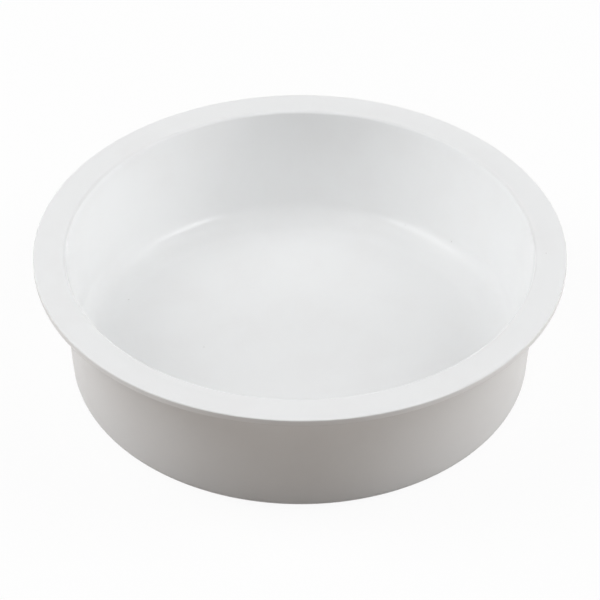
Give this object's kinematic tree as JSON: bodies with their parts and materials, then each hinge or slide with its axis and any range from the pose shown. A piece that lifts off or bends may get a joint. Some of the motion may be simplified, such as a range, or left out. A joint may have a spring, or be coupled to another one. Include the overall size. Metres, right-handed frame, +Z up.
{
  "type": "baking mould",
  "caption": "Round silicone cake mould with a tapered wall, a rounded floor corner and a wide flat flange stiffened by an embedded steel hoop.",
  "frame": {"origin": "centre of the underside of the base, on the surface the mould stands on", "axes": "+Z up along the mould's axis of revolution, out of its mouth; the mould is round, so +X and +Y are free"},
  "size_m": [0.25, 0.25, 0.066],
  "materials": {
    "silicone": "white, satin",
    "hoop_steel": "drawn stainless wire"
  },
  "bodies": {
    "root": {"mould_body": "silicone", "rim_hoop": "hoop_steel"}
  },
  "joints": []
}
